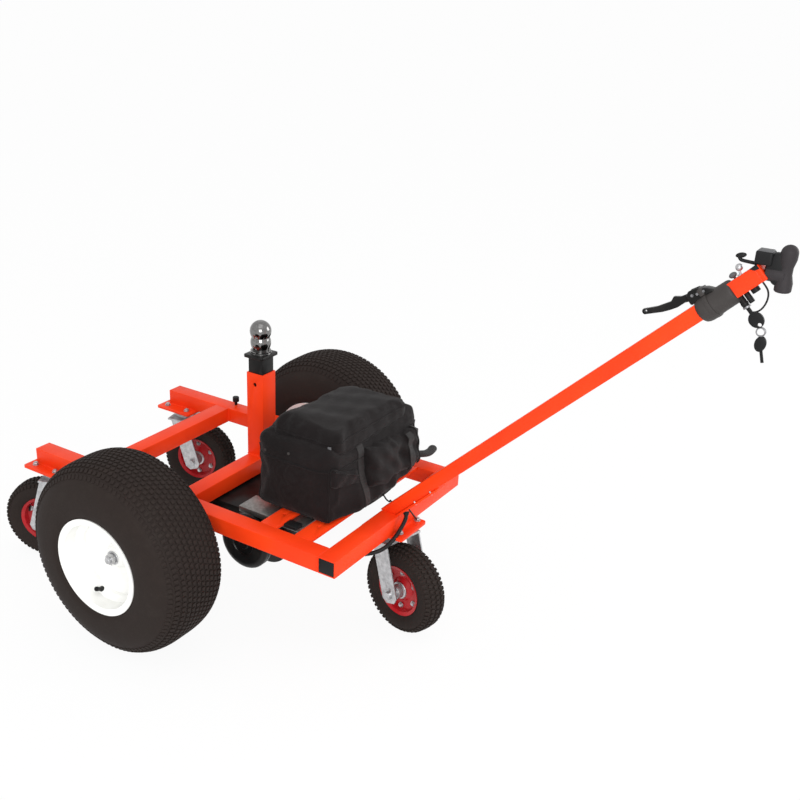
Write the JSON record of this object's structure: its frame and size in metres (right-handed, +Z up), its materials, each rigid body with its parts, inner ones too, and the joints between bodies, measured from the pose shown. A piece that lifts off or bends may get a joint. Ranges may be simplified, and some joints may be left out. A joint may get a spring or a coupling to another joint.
{
  "type": "electric trailer dolly",
  "caption": "Electric trailer dolly: welded tube frame on a powered axle with swivel casters, a sliding tow-ball post, a battery bag and a drawbar with brake lever, key switch and end grip.",
  "frame": {"origin": "on the floor, at the middle of the outline seen from above", "axes": "+Z up, the drawbar and its controls towards -Y, the rear casters towards +Y, +X to the right of a person who stands at the handle and faces the frame"},
  "size_m": [1.0122, 1.7484, 1.04],
  "materials": {
    "frame_paint": "glossy orange-red paint",
    "black_paint": "satin black paint",
    "white_paint": "gloss white paint",
    "red_paint": "gloss red paint",
    "zinc": "bright zinc plating",
    "polished_steel": "polished",
    "tyre_rubber": "treaded rubber",
    "bag_fabric": "coated woven nylon",
    "black_plastic": "moulded, fine grain",
    "grey_plastic": "moulded, fine grain",
    "soft_rubber": "ribbed and matt",
    "bare_aluminium": "die-cast, satin",
    "cable_sheath": "smooth sheath"
  },
  "bodies": {
    "chassis": {"axle_hangers": "frame_paint", "axle_tubes": "black_paint", "battery_bag": "bag_fabric", "battery_lead": "cable_sheath", "brake_lever": "black_paint", "brake_lever_clamp": "black_paint", "control_box": "grey_plastic", "control_cable": "cable_sheath", "controller_box": "bare_aluminium", "controller_plug": "black_plastic", "drive_motor": "black_paint", "end_grip": "soft_rubber", "front_caster_pad": "frame_paint", "front_caster_plate": "zinc", "front_cross_tube": "frame_paint", "front_tube_plugs": "black_plastic", "gear_case": "black_paint", "grip_sleeve": "soft_rubber", "handle_bracket": "frame_paint", "handle_tube": "frame_paint", "hitch_post": "frame_paint", "ignition_key": "black_plastic", "key_switch": "polished_steel", "left_rear_caster_pad": "frame_paint", "left_rear_caster_plate": "zinc", "left_side_rail": "frame_paint", "middle_cross_tube": "frame_paint", "motor_end_cap": "black_paint", "push_buttons": "black_plastic", "rail_knob": "black_plastic", "rear_cross_tube": "frame_paint", "right_rear_caster_pad": "frame_paint", "right_rear_caster_plate": "zinc", "right_side_rail": "frame_paint", "spare_key_on_ring": "polished_steel", "switch_wire": "cable_sheath", "thumb_lever": "black_plastic", "tray_front_bar": "frame_paint", "tray_rear_bar": "frame_paint"},
    "front_swivel": {"front_caster_fork": "zinc", "front_caster_axle": "zinc"},
    "front_caster_wheel": {"front_caster_rim": "red_paint", "front_caster_tyre": "tyre_rubber"},
    "left_rear_swivel": {"left_rear_caster_fork": "zinc", "left_rear_caster_axle": "zinc"},
    "left_rear_caster_wheel": {"left_rear_caster_rim": "red_paint", "left_rear_caster_tyre": "tyre_rubber"},
    "right_rear_swivel": {"right_rear_caster_fork": "zinc", "right_rear_caster_axle": "zinc"},
    "right_rear_caster_wheel": {"right_rear_caster_rim": "red_paint", "right_rear_caster_tyre": "tyre_rubber"},
    "left_drive_wheel": {"left_drive_tyre": "tyre_rubber", "left_drive_rim": "white_paint", "left_wheel_hub": "white_paint"},
    "right_drive_wheel": {"right_drive_tyre": "tyre_rubber", "right_drive_rim": "white_paint", "right_wheel_hub": "white_paint"},
    "ball_mount": {"hitch_inner_tube": "black_paint", "ball_plate": "black_paint", "tow_ball": "polished_steel"}
  },
  "joints": [
    {"name": "left_wheel_spin", "type": "hinge", "parent": "chassis", "child": "left_drive_wheel", "pos_m": [-0.406, 0.32181, 0.232], "axis": [1, 0, 0], "continuous": true},
    {"name": "right_wheel_spin", "type": "hinge", "parent": "chassis", "child": "right_drive_wheel", "pos_m": [0.406, 0.32181, 0.232], "axis": [1, 0, 0], "continuous": true},
    {"name": "front_swivel_turn", "type": "hinge", "parent": "chassis", "child": "front_swivel", "pos_m": [0.017, -0.12819, 0.108], "axis": [0, 0, 1], "continuous": true},
    {"name": "front_wheel_spin", "type": "hinge", "parent": "front_swivel", "child": "front_caster_wheel", "pos_m": [0.0072, -0.16903, 0.108], "axis": [0.9724, -0.2334, 0], "continuous": true},
    {"name": "left_rear_swivel_turn", "type": "hinge", "parent": "chassis", "child": "left_rear_swivel", "pos_m": [-0.242, 0.72981, 0.108], "axis": [0, 0, 1], "continuous": true},
    {"name": "left_rear_wheel_spin", "type": "hinge", "parent": "left_rear_swivel", "child": "left_rear_caster_wheel", "pos_m": [-0.25875, 0.76833, 0.108], "axis": [-0.9171, -0.3987, 0], "continuous": true},
    {"name": "right_rear_swivel_turn", "type": "hinge", "parent": "chassis", "child": "right_rear_swivel", "pos_m": [0.247, 0.72981, 0.108], "axis": [0, 0, 1], "continuous": true},
    {"name": "right_rear_wheel_spin", "type": "hinge", "parent": "right_rear_swivel", "child": "right_rear_caster_wheel", "pos_m": [0.25645, 0.68889, 0.108], "axis": [0.9744, 0.225, 0], "continuous": true},
    {"name": "ball_mount_slide", "type": "slide", "parent": "chassis", "child": "ball_mount", "axis": [0, 0, 1], "range_m": [0, 0.1]}
  ]
}
